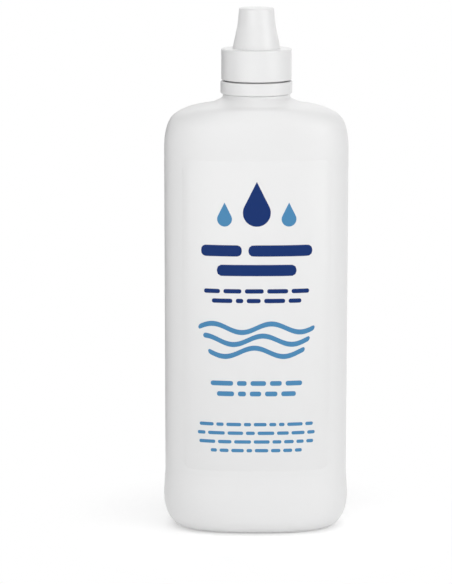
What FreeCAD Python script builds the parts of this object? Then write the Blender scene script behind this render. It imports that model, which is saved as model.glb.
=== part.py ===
import FreeCAD, Part
import math
import os

import Sketcher

# Contact lens solution bottle: an oval squeeze bottle with a dropper nozzle, a screw cap and a tamper band.
# Millimetres. +Z is up, the origin is the middle of the foot, and the front label faces -Y.

DOC = FreeCAD.newDocument("solution_bottle")
SHEET = DOC.addObject("Spreadsheet::Sheet", "Sizes")

SIZES = [
    # Oval body
    ("body_width", 72.4),
    ("body_depth", 42.0),
    ("body_squareness", 2.5),
    ("body_wall", 1.0),
    ("panel_bottom", 24.0),
    ("panel_top", 152.0),
    # Base: a slight bumper above rounded corners, and a push-up inside a flat foot ring
    ("bumper_swell", 0.6),
    ("side_corner_height", 12.5),
    ("side_corner_inset", 8.1),
    ("front_corner_height", 7.0),
    ("front_corner_inset", 7.0),
    ("foot_ring_width", 2.4),
    ("punt_run", 4.0),
    ("punt_depth", 2.5),
    # Shoulder
    ("shoulder_rise", 21.4),
    ("shoulder_ease", 0.55),
    # Neck finish
    ("neck_radius", 10.85),
    ("neck_wall", 1.85),
    ("boss_reach", 2.35),
    ("bead_level", 2.8),
    ("bead_straight", 1.0),
    ("bead_lead_in", 0.8),
    ("bead_reach", 1.45),
    ("thread_gap", 2.1),
    ("thread_pitch", 3.2),
    ("thread_turns", 1.5),
    ("thread_depth", 1.1),
    ("thread_root", 2.2),
    ("thread_crest", 1.0),
    ("thread_sink", 0.15),
    ("land_margin", 1.6),
    # Dropper nozzle
    ("flange_setback", 0.25),
    ("flange_thickness", 1.2),
    ("plug_length", 9.0),
    ("plug_wall", 1.2),
    ("plug_clearance", 0.02),
    ("plug_relief", 0.25),
    ("plug_ring_height", 1.4),
    ("spout_radius", 6.7),
    ("spout_length", 14.1),
    ("spout_tip_radius", 2.3),
    ("spout_tip_round", 0.8),
    ("orifice_radius", 0.8),
    ("orifice_length", 2.6),
    # Tamper band
    ("band_seat_gap", 0.15),
    ("band_cover", 2.3),
    ("band_clearance", 0.2),
    ("band_wall", 1.55),
    ("band_round", 0.7),
    ("snap_gap", 0.6),
    ("snap_slope", 0.8),
    ("bridge_height", 0.5),
    ("bridge_width", 0.9),
    ("bridge_depth", 0.7),
    ("bridge_setback", 0.75),
    ("bridge_count", 2),
    # Screw cap
    ("skirt_clearance", 0.45),
    ("skirt_wall", 1.35),
    ("skirt_rim_round", 0.45),
    ("ledge_round", 0.4),
    ("cap_thread_turns", 1.25),
    ("cap_thread_clearance", 0.3),
    ("cap_thread_root", 2.0),
    ("cap_thread_crest", 0.9),
    ("seat_clearance", 0.3),
    ("ledge_thickness", 0.9),
    ("spout_clearance", 1.45),
    ("cone_wall", 1.2),
    ("cone_waist_height", 9.6),
    ("cone_waist_radius", 7.3),
    ("cone_waist_round", 24.0),
    ("cone_top_radius", 6.8),
    ("cone_top_round", 0.6),
    ("cone_top_thickness", 1.4),
    ("tip_clearance", 1.5),
    ("pin_clearance", 0.1),
    ("pin_entry", 1.1),
    # Labels
    ("label_width", 58.0),
    ("label_margin", 2.5),
    ("label_corner", 4.0),
    ("label_gap", 0.05),
    ("label_thickness", 0.15),
]

# Levels and radii that follow from the sizes, as formulas over the sheet
BOSS_TOP = "(Sizes.panel_top + Sizes.shoulder_rise)"
BOSS_RADIUS = "(Sizes.neck_radius + Sizes.boss_reach)"
BEAD_BOTTOM = f"({BOSS_TOP} + Sizes.bead_level)"
BEAD_TOP = f"({BEAD_BOTTOM} + Sizes.bead_straight + Sizes.bead_lead_in)"
BEAD_RADIUS = "(Sizes.neck_radius + Sizes.bead_reach)"
THREAD_START = f"({BEAD_TOP} + Sizes.thread_gap + Sizes.thread_root / 2)"
THREAD_END = f"({THREAD_START} + Sizes.thread_pitch * Sizes.thread_turns)"
LAND = f"({THREAD_END} + Sizes.thread_root / 2 + Sizes.land_margin)"
BORE_RADIUS = "(Sizes.neck_radius - Sizes.neck_wall)"
FLANGE_TOP = f"({LAND} + Sizes.flange_thickness)"
SPOUT_TIP = f"({FLANGE_TOP} + Sizes.spout_length)"
BAND_BOTTOM = f"({BOSS_TOP} + Sizes.band_seat_gap)"
BAND_TOP = f"({BEAD_BOTTOM} + Sizes.band_cover)"
BAND_BORE = f"({BEAD_RADIUS} + Sizes.band_clearance)"
BAND_RADIUS = f"({BAND_BORE} + Sizes.band_wall)"
SKIRT_BOTTOM = f"({BAND_TOP} + Sizes.bridge_height)"
SKIRT_BORE = "(Sizes.neck_radius + Sizes.thread_depth + Sizes.skirt_clearance)"
SKIRT_RADIUS = f"({SKIRT_BORE} + Sizes.skirt_wall)"
CAP_CEILING = f"({FLANGE_TOP} + Sizes.seat_clearance)"
LEDGE = f"({CAP_CEILING} + Sizes.ledge_thickness)"
CONE_BASE_RADIUS = "(Sizes.spout_radius + Sizes.spout_clearance + Sizes.cone_wall)"
CONE_CEILING = f"({SPOUT_TIP} + Sizes.tip_clearance)"
CAP_TOP = f"({CONE_CEILING} + Sizes.cone_top_thickness)"
PIN_RADIUS = "(Sizes.orifice_radius - Sizes.pin_clearance)"

# The shoulder's outline from side to neck: share of the reach still left, share of the rise so far
SHOULDER_OUTLINE = [
    (1.0, 0.0),
    (0.985, 0.253),
    (0.945, 0.431),
    (0.882, 0.562),
    (0.717, 0.695),
    (0.441, 0.792),
    (0.165, 0.848),
    (0.06, 0.9),
    (0.0, 1.0),
]
# How many ovals each stretch of the body has, and how many points an oval has
SHOULDER_SECTIONS = 26
CORNER_SECTIONS = 12
FLARE_SECTIONS = 8
OVAL_POINTS = 40

# Two sizes closer than this are one size
SAME = 0.001


def fill_sheet():
    for row, (alias, value) in enumerate(SIZES, start=1):
        SHEET.set(f"A{row}", alias)
        SHEET.set(f"B{row}", str(value))
        SHEET.setAlias(f"B{row}", alias)
    DOC.recompute()


def size(formula):
    """The number that a formula over the sheet, or one alias, comes to."""
    if formula.isidentifier():
        formula = f"Sizes.{formula}"
    return float(SHEET.evalExpression(formula))


# Sketches and features


def origin_feature(body, role):
    return next(item for item in body.Origin.OriginFeatures if item.Role == role)


def new_body(name):
    body = DOC.addObject("PartDesign::Body", name)
    body.Label = name
    return body


def outline_sketch(body, name, corners):
    """A closed outline in the XZ plane, each corner held by two formulas over the sheet."""
    sketch = body.newObject("Sketcher::SketchObject", name)
    sketch.AttachmentSupport = [(origin_feature(body, "XZ_Plane"), "")]
    sketch.MapMode = "FlatFace"
    points = [FreeCAD.Vector(size(across), size(up), 0) for across, up in corners]
    count = len(points)
    for index in range(count):
        sketch.addGeometry(Part.LineSegment(points[index], points[(index + 1) % count]), False)
    for index in range(count):
        sketch.addConstraint(Sketcher.Constraint("Coincident", index, 2, (index + 1) % count, 1))
    for index, (across, up) in enumerate(corners):
        if across == "0":
            sketch.addConstraint(Sketcher.Constraint("PointOnObject", index, 1, -2))
        else:
            bind(sketch, Sketcher.Constraint("DistanceX", index, 1, points[index].x), across)
        bind(sketch, Sketcher.Constraint("DistanceY", index, 1, points[index].y), up)
    return sketch


def bind(sketch, constraint, formula):
    number = sketch.addConstraint(constraint)
    sketch.setExpression(f"Constraints[{number}]", formula)


def revolve(body, name, corners):
    """A turned solid from an outline in the XZ plane, once round the Z axis."""
    sketch = outline_sketch(body, f"{name}_outline", corners)
    turned = body.newObject("PartDesign::Revolution", name)
    turned.Profile = sketch
    turned.ReferenceAxis = (sketch, ["V_Axis"])
    turned.Angle = 360
    DOC.recompute()
    return turned


def ring_edges(feature, rings):
    """Names of the feature's round edges at the given pairs of radius and level."""
    names = []
    for radius, level in rings:
        for number, edge in enumerate(feature.Shape.Edges, start=1):
            curve = edge.Curve
            if not isinstance(curve, Part.Circle):
                continue
            same_radius = math.isclose(curve.Radius, size(radius), abs_tol=SAME)
            same_level = math.isclose(curve.Center.z, size(level), abs_tol=SAME)
            if same_radius and same_level:
                names.append(f"Edge{number}")
    return names


def round_rings(body, name, rings, radius):
    base = body.Tip
    fillet = body.newObject("PartDesign::Fillet", name)
    fillet.Base = (base, ring_edges(base, rings))
    fillet.setExpression("Radius", radius)
    DOC.recompute()
    return fillet


def add_thread(body, name, corners, turns, half_turn=False):
    """A right-hand thread ridge that climbs from its outline, which may start half a turn round."""
    sketch = outline_sketch(body, f"{name}_outline", corners)
    if half_turn:
        sketch.AttachmentOffset = FreeCAD.Placement(
            FreeCAD.Vector(), FreeCAD.Rotation(FreeCAD.Vector(0, 1, 0), 180)
        )
    ridge = body.newObject("PartDesign::AdditiveHelix", name)
    ridge.Profile = sketch
    ridge.ReferenceAxis = (sketch, ["V_Axis"])
    ridge.Mode = "pitch-turns-angle"
    ridge.setExpression("Pitch", "Sizes.thread_pitch")
    ridge.setExpression("Turns", turns)
    DOC.recompute()
    return ridge


# Oval forms of the bottle


def oval_wire(half_width, half_depth, power, level):
    """A closed smooth oval: a circle at power 2, squarer above it. It starts at the back."""
    points = []
    for step in range(OVAL_POINTS):
        turn = 2 * math.pi * step / OVAL_POINTS
        across = math.sin(turn)
        back = math.cos(turn)
        x = math.copysign(abs(across) ** (2 / power), across) * half_width
        y = math.copysign(abs(back) ** (2 / power), back) * half_depth
        points.append(FreeCAD.Vector(x, y, level))
    even_steps = [float(step) for step in range(OVAL_POINTS + 1)]
    curve = Part.BSplineCurve()
    curve.interpolate(points, PeriodicFlag=True, Parameters=even_steps)
    return Part.Wire(curve.toShape())


def corner_inset(inset, height, above_foot):
    """How far a rounded base corner stands in from the bumper at a height above the foot."""
    if above_foot >= height:
        return 0.0
    return inset * (1 - math.sqrt(1 - (1 - above_foot / height) ** 2))


def base_half_sizes(above_foot, inset):
    """Half width and half depth of the base at a height, moved in by a wall."""
    top = size("panel_bottom")
    bumper = size("side_corner_height")
    swell = size("bumper_swell")
    if above_foot > bumper:
        share = (above_foot - bumper) / (top - bumper)
        swell = swell * (1 + math.cos(math.pi * share)) / 2
    side = corner_inset(size("side_corner_inset"), bumper, above_foot)
    front = corner_inset(size("front_corner_inset"), size("front_corner_height"), above_foot)
    half_width = size("body_width") / 2 + swell - side - inset
    half_depth = size("body_depth") / 2 + swell - front - inset
    return half_width, half_depth


def base_wires(inset):
    """Ovals up the base, from foot to panel. A wall's inset also lifts its foot by as much."""
    bumper = size("side_corner_height")
    top = size("panel_bottom")
    heights = []
    for step in range(CORNER_SECTIONS):
        heights.append(bumper * (1 - math.cos(math.pi / 2 * step / CORNER_SECTIONS)))
    for step in range(FLARE_SECTIONS + 1):
        heights.append(bumper + (top - bumper) * step / FLARE_SECTIONS)
    power = size("body_squareness")
    wires = []
    for above_foot in heights:
        half_width, half_depth = base_half_sizes(above_foot, inset)
        level = inset + above_foot * (top - inset) / top
        wires.append(oval_wire(half_width, half_depth, power, level))
    return wires


def panel_wire(inset):
    half_width = size("body_width") / 2 - inset
    half_depth = size("body_depth") / 2 - inset
    return oval_wire(half_width, half_depth, size("body_squareness"), size("panel_bottom"))


def panel_height():
    return FreeCAD.Vector(0, 0, size("panel_top") - size("panel_bottom"))


def shoulder_curve():
    """The shoulder's outline as one smooth curve of shares."""
    points = [FreeCAD.Vector(reach, rise, 0) for reach, rise in SHOULDER_OUTLINE]
    upward = FreeCAD.Vector(0, 1, 0)
    curve = Part.BSplineCurve()
    curve.interpolate(points, InitialTangent=upward, FinalTangent=upward)
    return curve


def shoulder_wires(inset, neck_radius):
    """Ovals up the shoulder, from the panel to a round neck."""
    half_width = size("body_width") / 2 - inset
    half_depth = size("body_depth") / 2 - inset
    ease = size("shoulder_ease")
    extra_power = size("body_squareness") - 2
    curve = shoulder_curve()
    first = curve.FirstParameter
    last = curve.LastParameter
    wires = []
    for step in range(SHOULDER_SECTIONS + 1):
        share = curve.value(first + (last - first) * step / SHOULDER_SECTIONS)
        reach = min(max(share.x, 0.0), 1.0)
        across = neck_radius + (half_width - neck_radius) * reach
        deep = neck_radius + (half_depth - neck_radius) * reach**ease
        level = size("panel_top") + size("shoulder_rise") * share.y
        wires.append(oval_wire(across, deep, 2 + extra_power * reach, level))
    return wires


def skin(wires, ruled=False):
    """The side faces of a loft through the wires, without end caps."""
    return Part.makeLoft(wires, False, ruled).Faces


def flat_ring(outer_wire, inner_wire):
    return Part.makeFace([outer_wire, inner_wire], "Part::FaceMakerBullseye")


def body_skin(inset, neck_radius):
    """One whole wall surface of the bottle with its foot and neck wires."""
    base = base_wires(inset)
    shoulder = shoulder_wires(inset, neck_radius)
    panel = panel_wire(inset).extrude(panel_height()).Faces
    return skin(base) + panel + skin(shoulder), base[0], shoulder[-1]


def floor_skin(foot_wire, lift):
    """The floor inside a foot wire: a flat ring and a push-up, raised by a lift."""
    half_width, half_depth = base_half_sizes(0.0, size("foot_ring_width"))
    run = size("punt_run")
    power = size("body_squareness")
    lower = oval_wire(half_width, half_depth, power, lift)
    upper = oval_wire(half_width - run, half_depth - run, power, lift + size("punt_depth"))
    return [flat_ring(foot_wire, lower), Part.Face(upper)] + skin([lower, upper], ruled=True)


def shell_solid():
    """The bottle below its neck: an outer and an inner wall joined by a ring under the neck."""
    wall = size("body_wall")
    outer, outer_foot, outer_neck = body_skin(0.0, size(BOSS_RADIUS))
    inner, inner_foot, inner_neck = body_skin(wall, size(BORE_RADIUS))
    faces = outer + inner + floor_skin(outer_foot, 0.0) + floor_skin(inner_foot, wall)
    faces.append(flat_ring(outer_neck, inner_neck))
    shell = Part.Shell(faces)
    shell.sewShape()
    solid = Part.Solid(shell)
    if solid.Volume < 0:
        solid.reverse()
    return solid


def add_form(name, shape):
    form = DOC.addObject("Part::Feature", name)
    form.Label = name
    form.Shape = shape
    form.Placement = FreeCAD.Placement()
    return form


# Sub-parts


def make_neck():
    """The neck as a tube with its locking bead and thread."""
    body = new_body("neck_finish")
    neck = "Sizes.neck_radius"
    revolve(
        body,
        "neck_turned",
        [
            (BORE_RADIUS, BOSS_TOP),
            (neck, BOSS_TOP),
            (neck, BEAD_BOTTOM),
            (BEAD_RADIUS, BEAD_BOTTOM),
            (BEAD_RADIUS, f"{BEAD_BOTTOM} + Sizes.bead_straight"),
            (neck, BEAD_TOP),
            (neck, LAND),
            (BORE_RADIUS, LAND),
        ],
    )
    root = f"{neck} - Sizes.thread_sink"
    crest = f"{neck} + Sizes.thread_depth"
    add_thread(
        body,
        "neck_thread",
        [
            (root, f"{THREAD_START} - Sizes.thread_root / 2"),
            (crest, f"{THREAD_START} - Sizes.thread_crest / 2"),
            (crest, f"{THREAD_START} + Sizes.thread_crest / 2"),
            (root, f"{THREAD_START} + Sizes.thread_root / 2"),
        ],
        "Sizes.thread_turns",
    )
    return body


def make_bottle():
    bottle = DOC.addObject("Part::Fuse", "bottle")
    bottle.Label = "bottle"
    bottle.Base = add_form("bottle_shell", shell_solid())
    bottle.Tool = make_neck()
    DOC.recompute()
    return bottle


def make_nozzle():
    """A plug with two sealing rings, a flange on the neck's land and a tapered spout."""
    body = new_body("dropper_nozzle")
    ring = f"({BORE_RADIUS} - Sizes.plug_clearance)"
    plug = f"({ring} - Sizes.plug_relief)"
    plug_bore = f"({plug} - Sizes.plug_wall)"
    plug_bottom = f"({LAND} - Sizes.plug_length)"
    ring_height = "Sizes.plug_ring_height"
    flange = "(Sizes.neck_radius - Sizes.flange_setback)"
    spout_bore = "(Sizes.spout_radius - Sizes.plug_wall)"
    orifice_bottom = f"({SPOUT_TIP} - Sizes.orifice_length)"
    revolve(
        body,
        "nozzle_turned",
        [
            (plug_bore, plug_bottom),
            (plug, plug_bottom),
            (plug, f"{plug_bottom} + {ring_height}"),
            (ring, f"{plug_bottom} + 1.5 * {ring_height}"),
            (ring, f"{plug_bottom} + 2 * {ring_height}"),
            (plug, f"{plug_bottom} + 2.5 * {ring_height}"),
            (plug, f"{LAND} - 2 * {ring_height}"),
            (ring, f"{LAND} - 1.5 * {ring_height}"),
            (ring, LAND),
            (flange, LAND),
            (flange, FLANGE_TOP),
            ("Sizes.spout_radius", FLANGE_TOP),
            ("Sizes.spout_tip_radius", SPOUT_TIP),
            ("Sizes.orifice_radius", SPOUT_TIP),
            ("Sizes.orifice_radius", orifice_bottom),
            (spout_bore, LAND),
            (plug_bore, f"{LAND} - Sizes.plug_wall"),
        ],
    )
    round_rings(body, "spout_tip_edge", [("spout_tip_radius", SPOUT_TIP)], "Sizes.spout_tip_round")
    return body


def make_cap():
    """A threaded skirt with a tall hollow cone and a pin that closes the spout."""
    body = new_body("screw_cap")
    waist_level = f"({LEDGE} + Sizes.cone_waist_height)"
    revolve(
        body,
        "cap_turned",
        [
            (SKIRT_BORE, SKIRT_BOTTOM),
            (SKIRT_RADIUS, SKIRT_BOTTOM),
            (SKIRT_RADIUS, LEDGE),
            (CONE_BASE_RADIUS, LEDGE),
            ("Sizes.cone_waist_radius", waist_level),
            ("Sizes.cone_top_radius", CAP_TOP),
            ("0", CAP_TOP),
            ("0", f"{SPOUT_TIP} - Sizes.pin_entry"),
            (PIN_RADIUS, f"{SPOUT_TIP} - Sizes.pin_entry"),
            (PIN_RADIUS, CONE_CEILING),
            ("Sizes.cone_top_radius - Sizes.cone_wall", CONE_CEILING),
            ("Sizes.cone_waist_radius - Sizes.cone_wall", waist_level),
            (f"{CONE_BASE_RADIUS} - Sizes.cone_wall", CAP_CEILING),
            (SKIRT_BORE, CAP_CEILING),
        ],
    )
    round_rings(body, "cone_waist_edge", [("cone_waist_radius", waist_level)], "Sizes.cone_waist_round")
    round_rings(body, "cone_top_edge", [("cone_top_radius", CAP_TOP)], "Sizes.cone_top_round")
    round_rings(body, "ledge_edge", [(SKIRT_RADIUS, LEDGE)], "Sizes.ledge_round")
    round_rings(body, "skirt_rim_edge", [(SKIRT_RADIUS, SKIRT_BOTTOM)], "Sizes.skirt_rim_round")
    root = f"{SKIRT_BORE} + Sizes.thread_sink"
    crest = "Sizes.neck_radius + Sizes.cap_thread_clearance"
    add_thread(
        body,
        "cap_thread",
        [
            (crest, f"{THREAD_START} - Sizes.cap_thread_crest / 2"),
            (root, f"{THREAD_START} - Sizes.cap_thread_root / 2"),
            (root, f"{THREAD_START} + Sizes.cap_thread_root / 2"),
            (crest, f"{THREAD_START} + Sizes.cap_thread_crest / 2"),
        ],
        "Sizes.cap_thread_turns",
        half_turn=True,
    )
    return body


def make_band():
    """A ring caught under the neck's bead, with thin bridges up to the cap's skirt."""
    body = new_body("tamper_band")
    snap_bore = f"({BEAD_RADIUS} - Sizes.bead_reach / 2)"
    snap_top = f"({BEAD_BOTTOM} - Sizes.snap_gap)"
    revolve(
        body,
        "band_turned",
        [
            (snap_bore, BAND_BOTTOM),
            (BAND_RADIUS, BAND_BOTTOM),
            (BAND_RADIUS, BAND_TOP),
            (BAND_BORE, BAND_TOP),
            (BAND_BORE, snap_top),
            (snap_bore, f"{snap_top} - Sizes.snap_slope"),
        ],
    )
    round_rings(body, "band_bottom_edge", [(BAND_RADIUS, BAND_BOTTOM)], "Sizes.band_round")
    round_rings(body, "band_top_edge", [(BAND_RADIUS, BAND_TOP)], "Sizes.band_round / 2")
    outer = f"({BAND_RADIUS} - Sizes.bridge_setback)"
    inner = f"({outer} - Sizes.bridge_depth)"
    sketch = bridge_sketch(body, inner, outer)
    bridge = body.newObject("PartDesign::Pad", "bridge")
    bridge.Profile = sketch
    bridge.setExpression("Length", "Sizes.bridge_height")
    DOC.recompute()
    ring = body.newObject("PartDesign::PolarPattern", "bridge_ring")
    ring.Originals = [bridge]
    ring.Axis = (origin_feature(body, "Z_Axis"), [""])
    ring.Angle = 360
    ring.setExpression("Occurrences", "Sizes.bridge_count")
    body.Tip = ring
    DOC.recompute()
    return body


def bridge_sketch(body, inner, outer):
    """One bridge's footprint on the band's top face, at the narrow side of the bottle."""
    sketch = body.newObject("Sketcher::SketchObject", "bridge_outline")
    sketch.AttachmentSupport = [(origin_feature(body, "XY_Plane"), "")]
    sketch.MapMode = "FlatFace"
    sketch.setExpression("AttachmentOffset.Base.z", BAND_TOP)
    half = size("bridge_width") / 2
    corners = [
        FreeCAD.Vector(size(inner), -half, 0),
        FreeCAD.Vector(size(outer), -half, 0),
        FreeCAD.Vector(size(outer), half, 0),
        FreeCAD.Vector(size(inner), half, 0),
    ]
    for index in range(4):
        sketch.addGeometry(Part.LineSegment(corners[index], corners[(index + 1) % 4]), False)
    for index in range(4):
        sketch.addConstraint(Sketcher.Constraint("Coincident", index, 2, (index + 1) % 4, 1))
    sketch.addConstraint(Sketcher.Constraint("Horizontal", 0))
    sketch.addConstraint(Sketcher.Constraint("Horizontal", 2))
    sketch.addConstraint(Sketcher.Constraint("Vertical", 3))
    sketch.addConstraint(Sketcher.Constraint("Symmetric", 1, 1, 1, 2, -1))
    bind(sketch, Sketcher.Constraint("DistanceX", 0, 1, size(inner)), inner)
    bind(sketch, Sketcher.Constraint("DistanceX", 1, 1, size(outer)), outer)
    bind(sketch, Sketcher.Constraint("DistanceY", 1, 1, 1, 2, 2 * half), "Sizes.bridge_width")
    return sketch


def front_half(grow):
    """The front half of the panel's oval, grown outwards."""
    curve = panel_wire(-grow).Edges[0].Curve
    return curve.toShape(OVAL_POINTS / 4, OVAL_POINTS * 3 / 4)


def label_blank():
    """An upright plate through the front, as wide and high as a label, with a label's round corners."""
    width = size("label_width")
    bottom = size("panel_bottom") + size("label_margin")
    height = size("panel_top") - size("label_margin") - bottom
    plate = Part.makeBox(width, size("body_depth"), height)
    plate.translate(FreeCAD.Vector(-width / 2, -size("body_depth"), bottom))
    corners = [edge for edge in plate.Edges if abs(edge.tangentAt(edge.FirstParameter).y) > 0.5]
    return plate.makeFillet(size("label_corner"), corners)


def make_label(name, turn):
    """A thin film that follows the panel's front, turned about the Z axis."""
    inner = front_half(size("label_gap"))
    outer = front_half(size("label_gap") + size("label_thickness"))
    ends = [Part.makeLine(inner.Vertexes[end].Point, outer.Vertexes[end].Point) for end in (0, 1)]
    film = Part.Face(Part.Wire([inner, ends[1], outer, ends[0]])).extrude(panel_height())
    label = add_form(name, film.common(label_blank()))
    label.Placement = FreeCAD.Placement(FreeCAD.Vector(), FreeCAD.Rotation(FreeCAD.Vector(0, 0, 1), turn))
    return label


# Checks and files


def check_document():
    for item in DOC.Objects:
        bad = {"Invalid", "Error"} & set(item.State)
        if bad:
            raise RuntimeError(f"{item.Label} failed: {item.State}")


def write_parts(parts):
    for part in parts:
        shape = part.Shape
        if shape.isNull() or not shape.isValid() or not shape.Solids:
            raise RuntimeError(f"{part.Label} has no valid solid")
    os.makedirs("parts", exist_ok=True)
    for part in parts:
        part.Shape.exportStep(f"parts/{part.Label}.step")
        print(part.Label, len(part.Shape.Solids), "solid", round(part.Shape.Volume, 1), "mm3")


def main():
    fill_sheet()
    parts = [
        make_bottle(),
        make_nozzle(),
        make_band(),
        make_cap(),
        make_label("front_label", 0),
        make_label("back_label", 180),
    ]
    DOC.recompute()
    check_document()
    write_parts(parts)


main()
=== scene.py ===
import bisect
import math
import random

import bmesh
import bpy
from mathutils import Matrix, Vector


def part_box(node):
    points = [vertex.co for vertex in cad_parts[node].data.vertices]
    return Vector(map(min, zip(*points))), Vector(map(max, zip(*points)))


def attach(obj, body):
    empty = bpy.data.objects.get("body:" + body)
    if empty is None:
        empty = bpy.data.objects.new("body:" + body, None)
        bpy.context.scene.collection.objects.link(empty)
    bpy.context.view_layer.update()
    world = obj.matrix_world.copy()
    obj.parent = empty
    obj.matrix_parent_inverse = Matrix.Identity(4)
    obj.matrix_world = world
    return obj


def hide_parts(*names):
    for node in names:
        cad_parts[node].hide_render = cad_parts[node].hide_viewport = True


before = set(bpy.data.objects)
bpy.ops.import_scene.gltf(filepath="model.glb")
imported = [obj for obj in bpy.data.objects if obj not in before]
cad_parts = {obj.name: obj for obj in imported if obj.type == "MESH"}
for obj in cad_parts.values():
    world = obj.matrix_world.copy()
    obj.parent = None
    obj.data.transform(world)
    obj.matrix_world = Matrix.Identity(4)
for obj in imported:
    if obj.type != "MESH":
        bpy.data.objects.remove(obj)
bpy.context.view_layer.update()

# A white oval squeeze bottle of lens solution with its screw cap, in metres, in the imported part's frame.
# The bottle, nozzle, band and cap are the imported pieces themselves.
# The label films and their print are made here.

MM = 0.001
WHITE = (1.0, 1.0, 1.0, 1.0)

# Noises of the plastics: scales in cycles per metre, heights, details and the used part of their range
WAVE_SCALE = 55.0
WAVE_HEIGHT = 0.05 * MM
WAVE_DETAIL = 2.0
PATCH_SCALE = 240.0
GRAIN_SCALE = 2600.0
GRAIN_HEIGHT = 0.012 * MM
FINE_DETAIL = 3.0
NOISE_LOW = 0.3
NOISE_HIGH = 0.7

# The line where the two halves of the bottle's mould met
PARTING_HALF_WIDTH = 0.16 * MM
PARTING_HEIGHT = 0.05 * MM

# Finishes: a pale tone, a deep tone, the range of roughness and the strength of the grain
SATIN_WHITE = ((0.835, 0.835, 0.835), (0.815, 0.815, 0.815), (0.4, 0.5), 0.5)
SMOOTH_WHITE = ((0.824, 0.824, 0.824), (0.809, 0.809, 0.809), (0.3, 0.38), 0.3)
MILKY_WHITE = ((0.78, 0.8, 0.81), (0.74, 0.76, 0.775), (0.34, 0.44), 0.3)
NAVY = ((0.0075, 0.033, 0.16), (0.0055, 0.028, 0.145), (0.5, 0.62), 0.5)
BLUE = ((0.083, 0.265, 0.48), (0.068, 0.24, 0.45), (0.5, 0.62), 0.5)
PLASTIC_IOR = 1.52
NOZZLE_TRANSMISSION = 0.25
INK_SPECULAR = 0.12

# The oval panel that the films lie on, and how finely and how far towards its side it is measured
PANEL_HALF_WIDTH = 36.2 * MM
PANEL_HALF_DEPTH = 21.0 * MM
PANEL_POWER = 2.5
PANEL_REACH = 0.94
PANEL_STEPS = 2000

# The panel's two sides, as the factor that turns the front round
FRONT = 1
BACK = -1

# Films, as heights above the panel: an edge sunk into the wall, a bevel up to the face, and ink on the face
FILM_UNDERSIDE = -0.1 * MM
FILM_EDGE = -0.04 * MM
FILM_FACE = 0.1 * MM
FILM_BEVEL = 0.5 * MM
FILM_CORNER = 4.0 * MM
FILM_COLUMNS = 72
INK_FACE = 0.13 * MM
WELD_DISTANCE = 1e-7
SHARP_ANGLE = math.radians(40.0)

# Strokes in the place of words: their round corners, lengths and gaps as shares of their height
WORD_ROUND = 0.42
WORD_LEAST = 1.6
WORD_MOST = 5.0
WORD_GAP = 0.8
WORD_COLUMNS = 14

# Front print, from the top down. Lines of small print are a level, a height and a length.
FRONT_SEED = 5
DROP_FOOT = 124.0 * MM
DROP_RADIUS = 5.4 * MM
DROP_HEIGHT = 17.5 * MM
DROP_COLUMNS = 40
SIDE_DROP_PLACE = 12.5 * MM
SIDE_DROP_RADIUS = 2.9 * MM
SIDE_DROP_HEIGHT = 9.4 * MM
SIDE_DROP_COLUMNS = 28
TITLE_HEIGHT = 4.4 * MM
TITLE_LINES = ((114.5 * MM, (16.0 * MM, 25.0 * MM)), (106.8 * MM, (31.0 * MM,)))
TITLE_GAP = 2.6 * MM
NAVY_LINES = ((98.6 * MM, 1.7 * MM, 43.0 * MM), (94.8 * MM, 1.7 * MM, 35.0 * MM))
RIPPLE_LEVELS = (84.0 * MM, 79.2 * MM, 74.4 * MM)
RIPPLE_HALF = 23.0 * MM
RIPPLE_NARROWING = 2.0 * MM
RIPPLE_THICKNESS = 2.0 * MM
RIPPLE_SWING = 1.7 * MM
RIPPLE_LENGTH = 23.0 * MM
RIPPLE_PHASE = 0.9
RIPPLE_COLUMNS = 90
BLUE_LINES = (
    (62.0 * MM, 1.9 * MM, 40.0 * MM),
    (57.8 * MM, 1.9 * MM, 31.0 * MM),
    (45.5 * MM, 1.35 * MM, 46.0 * MM),
    (42.0 * MM, 1.35 * MM, 49.0 * MM),
    (38.5 * MM, 1.35 * MM, 47.0 * MM),
    (35.0 * MM, 1.35 * MM, 36.0 * MM),
)

# Back print: a heading and lines of small print, of which the shortest is a share of the longest
BACK_SEED = 11
BACK_HEADING = (140.0 * MM, 2.6 * MM, 34.0 * MM)
BACK_TOP_LINE = 132.0 * MM
BACK_LINE_STEP = 3.6 * MM
BACK_LINE_HEIGHT = 1.1 * MM
BACK_LINE_LENGTH = 48.0 * MM
BACK_LINE_LEAST = 0.8
BACK_LINES = 24

# The photograph's size, and where the bottle's axis shows in it, in pixels
PHOTO_WIDTH = 452
PHOTO_HEIGHT = 584
AXIS_COLUMN = 256.0

# Camera
CAMERA_DISTANCE = 1.0
CAMERA_PITCH = math.radians(10.4)
CAMERA_AIM_HEIGHT = 94.5 * MM
CAMERA_CLIP_END = 30.0
FOCAL_PIXELS = 2520.0
SENSOR_MM = 36.0

# Floor: paper with a faint glow beside the bottle, which turns white between two distances from its middle
FLOOR_SIZE = 16.0
FLOOR_PAPER = (0.9, 0.9, 0.9, 1.0)
FLOOR_LIFT = 0.3
FLOOR_NEAR = 0.03
FLOOR_FAR = 0.09

# Light from all around: its greatest strength, and the side that it comes from
WORLD_LIGHT = 0.56
WORLD_LIGHT_FROM = (0.6, 0.5, 0.62)

# Lamps: a name, a place, a width, a height, a power in watts, and whether it shows in highlights
LAMPS = (
    ("key", (1.2, -0.7, 0.38), 1.0, 0.75, 5.95, True),
    ("front", (-0.68, -1.2, 0.3), 1.6, 0.6, 7.6, True),
    ("top", (-0.15, -0.4, 1.25), 1.0, 1.0, 4.2, True),
    ("back", (0.0, 1.2, 1.0), 1.2, 1.0, 3.4, True),
    ("rear", (-0.2, 1.6, 0.15), 1.6, 0.5, 13.0, False),
)

# A dark card that stands on the floor
CARD_PLACE = (-0.085, 0.115)
CARD_WIDTH = 0.2
CARD_HEIGHT = 0.2
CARD_TONE = (0.02, 0.02, 0.02, 1.0)
CARD_ROUGHNESS = 0.9


# Materials


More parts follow.
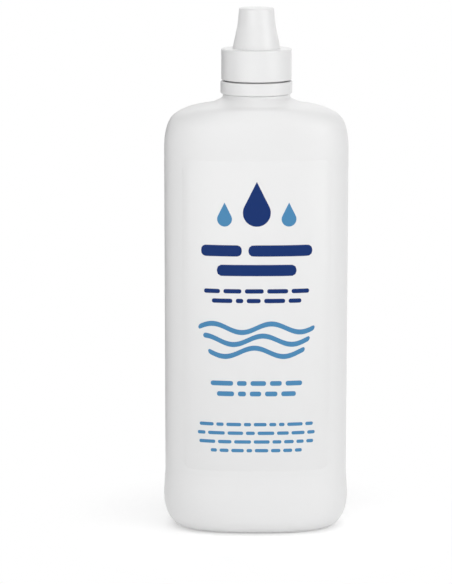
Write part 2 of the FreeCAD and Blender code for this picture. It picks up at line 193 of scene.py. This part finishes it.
def new_material(name):
    material = bpy.data.materials.new(name)
    material.use_nodes = True
    return material


def shader_of(material):
    return material.node_tree.nodes["Principled BSDF"]


def add_node(tree, kind, settings=None, **inputs):
    """A node with some of its settings and inputs set. An input's name has _ for each space."""
    node = tree.nodes.new(kind)
    for name, value in (settings or {}).items():
        setattr(node, name, value)
    for name, value in inputs.items():
        node.inputs[name.replace("_", " ")].default_value = value
    return node


def noise(tree, coordinates, scale, detail):
    node = add_node(tree, "ShaderNodeTexNoise", Scale=scale, Detail=detail)
    tree.links.new(coordinates, node.inputs["Vector"])
    return node.outputs["Fac"]


def between(tree, factor, low, high):
    """A number that drifts from low to high with a noise."""
    node = add_node(
        tree, "ShaderNodeMapRange", From_Min=NOISE_LOW, From_Max=NOISE_HIGH, To_Min=low, To_Max=high
    )
    tree.links.new(factor, node.inputs["Value"])
    return node.outputs["Result"]


def tint(tree, factor, first, second):
    """A colour that drifts between two tones with a noise."""
    node = add_node(tree, "ShaderNodeMix", {"data_type": "RGBA"})
    node.inputs["A"].default_value = (*first, 1.0)
    node.inputs["B"].default_value = (*second, 1.0)
    tree.links.new(factor, node.inputs["Factor"])
    return node.outputs["Result"]


def bump(tree, height, distance, strength=1.0, under=None):
    """A relief of a given depth, on top of another one if there is one under it."""
    node = add_node(tree, "ShaderNodeBump", Strength=strength, Distance=distance)
    tree.links.new(height, node.inputs["Height"])
    if under is not None:
        tree.links.new(under, node.inputs["Normal"])
    return node.outputs["Normal"]


def plastic(name, finish):
    """Moulded plastic: a drifting tone, uneven gloss, slow waves of the wall and a fine grain."""
    pale, deep, roughness, grain = finish
    material = new_material(name)
    tree = material.node_tree
    shader = shader_of(material)
    place = add_node(tree, "ShaderNodeTexCoord").outputs["Object"]
    slow = noise(tree, place, WAVE_SCALE, WAVE_DETAIL)
    patches = noise(tree, place, PATCH_SCALE, FINE_DETAIL)
    fine = noise(tree, place, GRAIN_SCALE, FINE_DETAIL)
    waves = bump(tree, slow, WAVE_HEIGHT)
    tree.links.new(tint(tree, slow, deep, pale), shader.inputs["Base Color"])
    tree.links.new(between(tree, patches, *roughness), shader.inputs["Roughness"])
    tree.links.new(bump(tree, fine, GRAIN_HEIGHT, grain, waves), shader.inputs["Normal"])
    shader.inputs["IOR"].default_value = PLASTIC_IOR
    return material


def bottle_plastic():
    """Satin white polyethylene, with the fine line where the mould's two halves met."""
    material = plastic("bottle_plastic", SATIN_WHITE)
    tree = material.node_tree
    place = add_node(tree, "ShaderNodeTexCoord")
    axes = add_node(tree, "ShaderNodeSeparateXYZ")
    tree.links.new(place.outputs["Object"], axes.inputs["Vector"])
    depth = add_node(tree, "ShaderNodeMath", {"operation": "ABSOLUTE"})
    tree.links.new(axes.outputs["Y"], depth.inputs[0])
    line = add_node(
        tree, "ShaderNodeMapRange", {"interpolation_type": "SMOOTHSTEP"},
        From_Max=PARTING_HALF_WIDTH, To_Min=1.0, To_Max=0.0,
    )
    tree.links.new(depth.outputs["Value"], line.inputs["Value"])
    normal = shader_of(material).inputs["Normal"]
    grain = normal.links[0].from_socket
    tree.links.new(bump(tree, line.outputs["Result"], PARTING_HEIGHT, under=grain), normal)
    return material


def nozzle_plastic():
    """Soft, slightly milky polyethylene."""
    material = plastic("nozzle_plastic", MILKY_WHITE)
    shader_of(material).inputs["Transmission Weight"].default_value = NOZZLE_TRANSMISSION
    return material


def print_ink(name, finish):
    """Screen-printed ink: its density drifts a little, and its face has a faint tooth."""
    material = plastic(name, finish)
    shader_of(material).inputs["Specular IOR Level"].default_value = INK_SPECULAR
    return material


# The panel


def panel_depth(x, lift):
    """How far the oval, grown by a lift, stands in front of its middle at an X."""
    share = (abs(x) / (PANEL_HALF_WIDTH + lift)) ** PANEL_POWER
    return (PANEL_HALF_DEPTH + lift) * (1.0 - share) ** (1.0 / PANEL_POWER)


def panel_run():
    """Pairs of an arc length and an X along the panel, from its middle towards one side."""
    run = [(0.0, 0.0)]
    last = Vector((0.0, panel_depth(0.0, 0.0)))
    for step in range(1, PANEL_STEPS + 1):
        x = PANEL_REACH * PANEL_HALF_WIDTH * step / PANEL_STEPS
        here = Vector((x, panel_depth(x, 0.0)))
        run.append((run[-1][0] + (here - last).length, x))
        last = here
    return run


PANEL_RUN = panel_run()


def arc_length(x):
    """The arc length along the panel from its middle to an X."""
    return next(length for length, place in PANEL_RUN if place >= x)


def panel_x(along):
    """The X of a point that lies an arc length along the panel from its middle."""
    wanted = abs(along)
    after = bisect.bisect_right(PANEL_RUN, wanted, key=lambda pair: pair[0])
    after = min(after, len(PANEL_RUN) - 1)
    start, start_x = PANEL_RUN[after - 1]
    end, end_x = PANEL_RUN[after]
    share = (wanted - start) / (end - start)
    return math.copysign(start_x + share * (end_x - start_x), along)


def on_panel(along, height, lift, side):
    """A point above the panel's front, or above its back, which is the front turned round."""
    x = panel_x(along)
    return Vector((side * x, -side * panel_depth(x, lift), height))


# Outlines on the panel, as columns: each is an arc length, a lower height and an upper height


def steps_across(half, count):
    """Arc lengths across an outline, closer together towards its ends."""
    return [-half * math.cos(math.pi * step / count) for step in range(count + 1)]


def round_rectangle(centre, half, bottom, top, corner, count):
    """Columns of a rectangle with round corners."""
    columns = []
    for along in steps_across(half, count):
        past = max(0.0, abs(along) - (half - corner))
        rise = corner - math.sqrt(max(0.0, corner * corner - past * past))
        columns.append((centre + along, bottom + rise, top - rise))
    return columns


def drop(centre, bottom, radius, height, count):
    """Columns of a drop: a round foot, and straight flanks that meet in a point."""
    middle = bottom + radius
    tip = height - radius
    lean = math.asin(radius / tip)
    columns = []
    for along in steps_across(radius, count):
        round_part = math.sqrt(max(0.0, radius * radius - along * along))
        top = round_part
        if abs(along) < radius * math.cos(lean):
            top = max(round_part, tip - abs(along) / math.tan(lean))
        columns.append((centre + along, middle - round_part, middle + top))
    return columns


def ripple(half, level, phase):
    """Columns of a wavy ribbon with round ends."""
    radius = RIPPLE_THICKNESS / 2
    columns = []
    for along in steps_across(half, RIPPLE_COLUMNS):
        past = max(0.0, abs(along) - (half - radius))
        width = math.sqrt(max(0.0, radius * radius - past * past))
        middle = level + RIPPLE_SWING * math.sin(2 * math.pi * along / RIPPLE_LENGTH + phase)
        columns.append((along, middle - width, middle + width))
    return columns


def words(level, height, lengths, gap):
    """Round-ended strokes in a row, centred, in the place of a line of words."""
    start = -(sum(lengths) + gap * (len(lengths) - 1)) / 2
    bottom = level - height / 2
    top = level + height / 2
    shapes = []
    for length in lengths:
        centre = start + length / 2
        shapes.append(round_rectangle(centre, length / 2, bottom, top, height * WORD_ROUND, WORD_COLUMNS))
        start += length + gap
    return shapes


def word_lengths(draw, whole, height):
    """Word-like lengths that fill about a whole line."""
    lengths = []
    left = whole
    while left > height * WORD_LEAST:
        length = min(left, height * draw.uniform(WORD_LEAST, WORD_MOST))
        lengths.append(length)
        left -= length + height * WORD_GAP
    return lengths


# Label films and print


def ring(columns, lift, side):
    """An outline's rim, along its lower edge and back along its upper one."""
    lower = [on_panel(along, low, lift, side) for along, low, high in columns]
    upper = [on_panel(along, high, lift, side) for along, low, high in reversed(columns)]
    return lower + upper


def add_patch(mesh, columns, inner, lifts, side):
    """A closed thin patch: an underside and an edge on the outer columns, and a face on the inner ones."""
    underside, edge, face = lifts
    rings = [ring(columns, underside, side), ring(columns, edge, side), ring(inner, face, side)]
    verts = [[mesh.verts.new(point) for point in points] for points in rings]
    count = len(verts[0])
    for below, above in zip(verts, verts[1:]):
        for index in range(count):
            after = (index + 1) % count
            mesh.faces.new((below[index], below[after], above[after], above[index]))
    for points, flip in ((verts[0], True), (verts[-1], False)):
        for index in range(len(columns) - 1):
            opposite = count - 1 - index
            corners = [points[index], points[index + 1], points[opposite - 1], points[opposite]]
            mesh.faces.new(reversed(corners) if flip else corners)


def add_ink(mesh, shapes, side):
    for columns in shapes:
        add_patch(mesh, columns, columns, (0.0, FILM_FACE, INK_FACE), side)


def add_small_print(mesh, draw, line, side):
    level, height, whole = line
    lengths = word_lengths(draw, whole, height)
    add_ink(mesh, words(level, height, lengths, height * WORD_GAP), side)


def finish_piece(name, mesh, material):
    """Turns a mesh into a piece of the squeeze bottle's label."""
    bmesh.ops.remove_doubles(mesh, verts=mesh.verts, dist=WELD_DISTANCE)
    bmesh.ops.recalc_face_normals(mesh, faces=mesh.faces)
    data = bpy.data.meshes.new(name)
    mesh.to_mesh(data)
    mesh.free()
    for polygon in data.polygons:
        polygon.use_smooth = True
    data.set_sharp_from_angle(angle=SHARP_ANGLE)
    data.materials.append(material)
    piece = bpy.data.objects.new(name, data)
    bpy.context.scene.collection.objects.link(piece)
    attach(piece, "squeeze_bottle")
    return piece


def make_film(node, side, material):
    """A label's film over the panel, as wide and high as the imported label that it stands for."""
    low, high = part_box(node)
    half = arc_length(high.x)
    outer = round_rectangle(0.0, half, low.z, high.z, FILM_CORNER, FILM_COLUMNS)
    inner = round_rectangle(
        0.0, half - FILM_BEVEL, low.z + FILM_BEVEL, high.z - FILM_BEVEL,
        FILM_CORNER - FILM_BEVEL, FILM_COLUMNS,
    )
    mesh = bmesh.new()
    add_patch(mesh, outer, inner, (FILM_UNDERSIDE, FILM_EDGE, FILM_FACE), side)
    piece = finish_piece(f"{node}_film", mesh, material)
    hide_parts(node)


def make_front_print(navy, blue):
    """A large drop and a title in navy, and small drops, ripples and small print in blue."""
    draw = random.Random(FRONT_SEED)
    mesh = bmesh.new()
    add_ink(mesh, [drop(0.0, DROP_FOOT, DROP_RADIUS, DROP_HEIGHT, DROP_COLUMNS)], FRONT)
    for level, lengths in TITLE_LINES:
        add_ink(mesh, words(level, TITLE_HEIGHT, lengths, TITLE_GAP), FRONT)
    for line in NAVY_LINES:
        add_small_print(mesh, draw, line, FRONT)
    finish_piece("front_print_navy", mesh, navy)

    mesh = bmesh.new()
    for place in (-SIDE_DROP_PLACE, SIDE_DROP_PLACE):
        shape = drop(place, DROP_FOOT, SIDE_DROP_RADIUS, SIDE_DROP_HEIGHT, SIDE_DROP_COLUMNS)
        add_ink(mesh, [shape], FRONT)
    for index, level in enumerate(RIPPLE_LEVELS):
        half = RIPPLE_HALF - index * RIPPLE_NARROWING
        add_ink(mesh, [ripple(half, level, index * RIPPLE_PHASE)], FRONT)
    for line in BLUE_LINES:
        add_small_print(mesh, draw, line, FRONT)
    finish_piece("front_print_blue", mesh, blue)


def make_back_print(navy):
    """A heading over lines of small print."""
    draw = random.Random(BACK_SEED)
    mesh = bmesh.new()
    add_small_print(mesh, draw, BACK_HEADING, BACK)
    for index in range(BACK_LINES):
        whole = BACK_LINE_LENGTH * draw.uniform(BACK_LINE_LEAST, 1.0)
        level = BACK_TOP_LINE - index * BACK_LINE_STEP
        add_small_print(mesh, draw, (level, BACK_LINE_HEIGHT, whole), BACK)
    finish_piece("back_print_navy", mesh, navy)


# Stage


def looked_at(tree):
    """1 for rays from the camera, straight or by mirror or glass, and 0 for light that falls on things."""
    path = add_node(tree, "ShaderNodeLightPath")
    total = path.outputs["Is Camera Ray"]
    for name in ("Is Glossy Ray", "Is Transmission Ray"):
        most = add_node(tree, "ShaderNodeMath", {"operation": "MAXIMUM"})
        tree.links.new(total, most.inputs[0])
        tree.links.new(path.outputs[name], most.inputs[1])
        total = most.outputs["Value"]
    return total


def mix_shaders(tree, factor, first, second):
    node = add_node(tree, "ShaderNodeMixShader")
    tree.links.new(factor, node.inputs["Fac"])
    tree.links.new(first.outputs[0], node.inputs[1])
    tree.links.new(second.outputs[0], node.inputs[2])
    return node


def floor_fade(tree):
    """0 on the floor beside the bottle and 1 away from it."""
    place = add_node(tree, "ShaderNodeTexCoord")
    reach = add_node(tree, "ShaderNodeVectorMath", {"operation": "LENGTH"})
    tree.links.new(place.outputs["Object"], reach.inputs[0])
    fade = add_node(
        tree, "ShaderNodeMapRange", {"interpolation_type": "SMOOTHSTEP"},
        From_Min=FLOOR_NEAR, From_Max=FLOOR_FAR,
    )
    tree.links.new(reach.outputs["Value"], fade.inputs["Value"])
    return fade.outputs["Result"]


def floor_paper():
    """Pale paper that takes the bottle's shadow and is white to look at away from it."""
    material = new_material("floor")
    tree = material.node_tree
    tree.nodes.clear()
    paper = add_node(tree, "ShaderNodeBsdfDiffuse", Color=FLOOR_PAPER)
    lift = add_node(tree, "ShaderNodeEmission", Strength=FLOOR_LIFT)
    near = add_node(tree, "ShaderNodeAddShader")
    tree.links.new(paper.outputs[0], near.inputs[0])
    tree.links.new(lift.outputs[0], near.inputs[1])
    far = add_node(tree, "ShaderNodeEmission", Strength=1.0)
    seen = mix_shaders(tree, floor_fade(tree), near, far)
    shown = mix_shaders(tree, looked_at(tree), paper, seen)
    output = add_node(tree, "ShaderNodeOutputMaterial")
    tree.links.new(shown.outputs[0], output.inputs["Surface"])
    return material


def make_floor():
    bpy.ops.mesh.primitive_plane_add(size=FLOOR_SIZE)
    floor = bpy.context.object
    floor.name = "floor"
    floor.data.materials.append(floor_paper())


def world_light(tree):
    """The strength of the light from all around, in the direction of a ray."""
    way = add_node(tree, "ShaderNodeTexCoord")
    along = add_node(tree, "ShaderNodeVectorMath", {"operation": "DOT_PRODUCT"})
    tree.links.new(way.outputs["Generated"], along.inputs[0])
    along.inputs[1].default_value = WORLD_LIGHT_FROM
    share = add_node(
        tree, "ShaderNodeMapRange", From_Min=-1.0, From_Max=1.0, To_Min=0.0, To_Max=WORLD_LIGHT
    )
    tree.links.new(along.outputs["Value"], share.inputs["Value"])
    return share.outputs["Result"]


def make_world():
    """White to look at, and a weak light on things, more of it from behind on the right."""
    world = bpy.data.worlds.new("world")
    bpy.context.scene.world = world
    world.use_nodes = True
    tree = world.node_tree
    tree.nodes.clear()
    light = add_node(tree, "ShaderNodeBackground", Color=WHITE)
    tree.links.new(world_light(tree), light.inputs["Strength"])
    white = add_node(tree, "ShaderNodeBackground", Color=WHITE, Strength=1.0)
    shown = mix_shaders(tree, looked_at(tree), light, white)
    output = add_node(tree, "ShaderNodeOutputWorld")
    tree.links.new(shown.outputs[0], output.inputs["Surface"])


def make_lamp(name, place, width, height, power, in_highlights):
    """A soft box, out of view, that faces the middle of the bottle."""
    data = bpy.data.lights.new(name, "AREA")
    data.shape = "RECTANGLE"
    data.size = width
    data.size_y = height
    data.energy = power
    lamp = bpy.data.objects.new(name, data)
    bpy.context.scene.collection.objects.link(lamp)
    lamp.location = place
    aim = Vector((0.0, 0.0, CAMERA_AIM_HEIGHT)) - Vector(place)
    lamp.rotation_euler = aim.to_track_quat("-Z", "Y").to_euler()
    lamp.visible_camera = False
    lamp.visible_glossy = in_highlights


def make_dark_card():
    """A dark card behind the bottle on its left, out of view, that draws the white bottle's left edge."""
    bpy.ops.mesh.primitive_plane_add(size=1.0)
    card = bpy.context.object
    card.name = "dark_card"
    card.scale = (CARD_WIDTH, CARD_HEIGHT, 1.0)
    card.location = (*CARD_PLACE, CARD_HEIGHT / 2)
    aim = -Vector((*CARD_PLACE, 0.0))
    card.rotation_euler = aim.to_track_quat("Z", "Y").to_euler()
    card.visible_camera = False
    card.visible_shadow = False
    material = new_material("dark_card")
    shader = shader_of(material)
    shader.inputs["Base Color"].default_value = CARD_TONE
    shader.inputs["Roughness"].default_value = CARD_ROUGHNESS
    card.data.materials.append(material)


def make_camera():
    data = bpy.data.cameras.new("camera")
    data.sensor_width = SENSOR_MM
    data.lens = FOCAL_PIXELS * SENSOR_MM / PHOTO_HEIGHT
    data.clip_end = CAMERA_CLIP_END
    camera = bpy.data.objects.new("camera", data)
    bpy.context.scene.collection.objects.link(camera)
    aside = (PHOTO_WIDTH / 2 - AXIS_COLUMN) * CAMERA_DISTANCE / FOCAL_PIXELS
    back = CAMERA_DISTANCE * math.cos(CAMERA_PITCH)
    up = CAMERA_DISTANCE * math.sin(CAMERA_PITCH)
    camera.location = (aside, -back, CAMERA_AIM_HEIGHT + up)
    camera.rotation_euler = (math.pi / 2 - CAMERA_PITCH, 0.0, 0.0)
    bpy.context.scene.camera = camera


# Build

bpy.context.scene.view_settings.view_transform = "Standard"
cap_plastic = plastic("cap_plastic", SMOOTH_WHITE)
finishes = {
    "bottle": bottle_plastic(),
    "dropper_nozzle": nozzle_plastic(),
    "screw_cap": cap_plastic,
    "tamper_band": cap_plastic,
}
for node, material in finishes.items():
    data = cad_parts[node].data
    data.materials.clear()
    data.materials.append(material)

label_film = plastic("label_film", SATIN_WHITE)
navy_ink = print_ink("navy_ink", NAVY)
blue_ink = print_ink("blue_ink", BLUE)
make_film("front_label", FRONT, label_film)
make_film("back_label", BACK, label_film)
make_front_print(navy_ink, blue_ink)
make_back_print(navy_ink)

make_floor()
make_world()
for lamp in LAMPS:
    make_lamp(*lamp)
make_dark_card()
make_camera()
